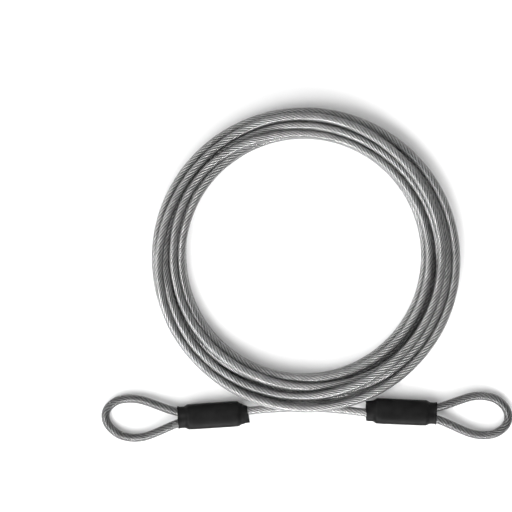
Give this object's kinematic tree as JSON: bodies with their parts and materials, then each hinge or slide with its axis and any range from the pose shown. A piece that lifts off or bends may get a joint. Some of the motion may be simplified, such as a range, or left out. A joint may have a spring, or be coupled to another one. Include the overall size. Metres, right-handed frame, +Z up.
{
  "type": "looped-end security cable",
  "caption": "Coiled clear-jacketed steel rope with an eye at each end, each closed by a ferrule under a black sleeve, for locking with a padlock.",
  "frame": {"origin": "middle of the footprint on the surface that the coil and both sleeves lie on", "axes": "+X from the left eye to the right eye, +Y from the eyes towards the coil, +Z up out of the coil"},
  "size_m": [0.4677, 0.3844, 0.026],
  "materials": {
    "jacketed_cable": "gloss",
    "clear_jacket": "gloss",
    "steel_strand": "satin",
    "ferrule_metal": "satin",
    "black_sleeve": "satin"
  },
  "bodies": {
    "coil": {"cable_coil": "jacketed_cable"},
    "left_tail": {"left_tail_inner": "jacketed_cable"},
    "left_eye": {"left_tail_outer": "jacketed_cable", "left_sleeve": "black_sleeve", "left_ferrule": "ferrule_metal", "left_eye_loop": "jacketed_cable", "left_live_leg_jacket": "clear_jacket", "left_live_leg_core_strand": "steel_strand", "left_live_leg_strand_1": "steel_strand", "left_live_leg_strand_2": "steel_strand", "left_live_leg_strand_3": "steel_strand", "left_live_leg_strand_4": "steel_strand", "left_live_leg_strand_5": "steel_strand", "left_live_leg_strand_6": "steel_strand", "left_dead_end_jacket": "clear_jacket", "left_dead_end_core_strand": "steel_strand", "left_dead_end_strand_1": "steel_strand", "left_dead_end_strand_2": "steel_strand", "left_dead_end_strand_3": "steel_strand", "left_dead_end_strand_4": "steel_strand", "left_dead_end_strand_5": "steel_strand", "left_dead_end_strand_6": "steel_strand"},
    "right_tail": {"right_tail_inner": "jacketed_cable"},
    "right_eye": {"right_tail_outer": "jacketed_cable", "right_sleeve": "black_sleeve", "right_ferrule": "ferrule_metal", "right_eye_loop": "jacketed_cable", "right_live_leg_jacket": "clear_jacket", "right_live_leg_core_strand": "steel_strand", "right_live_leg_strand_1": "steel_strand", "right_live_leg_strand_2": "steel_strand", "right_live_leg_strand_3": "steel_strand", "right_live_leg_strand_4": "steel_strand", "right_live_leg_strand_5": "steel_strand", "right_live_leg_strand_6": "steel_strand", "right_dead_end_jacket": "clear_jacket", "right_dead_end_core_strand": "steel_strand", "right_dead_end_strand_1": "steel_strand", "right_dead_end_strand_2": "steel_strand", "right_dead_end_strand_3": "steel_strand", "right_dead_end_strand_4": "steel_strand", "right_dead_end_strand_5": "steel_strand", "right_dead_end_strand_6": "steel_strand"}
  },
  "joints": [
    {"name": "left_tail_swing", "type": "hinge", "parent": "coil", "child": "left_tail", "pos_m": [-0.03, -0.1588, 0.0048], "axis": [0, 0, 1], "range_deg": [0, 25], "stiffness_Nm_per_rad": 14},
    {"name": "left_eye_lift", "type": "hinge", "parent": "left_tail", "child": "left_eye", "pos_m": [-0.055, -0.1554, 0.0117], "axis": [0, 1, 0], "range_deg": [0, 20], "stiffness_Nm_per_rad": 14},
    {"name": "right_tail_swing", "type": "hinge", "parent": "coil", "child": "right_tail", "pos_m": [0.03, -0.1592, 0.0124], "axis": [0, 0, -1], "range_deg": [0, 25], "stiffness_Nm_per_rad": 14},
    {"name": "right_eye_lift", "type": "hinge", "parent": "right_tail", "child": "right_eye", "pos_m": [0.055, -0.1571, 0.014], "axis": [0, -1, 0], "range_deg": [0, 20], "stiffness_Nm_per_rad": 14}
  ]
}
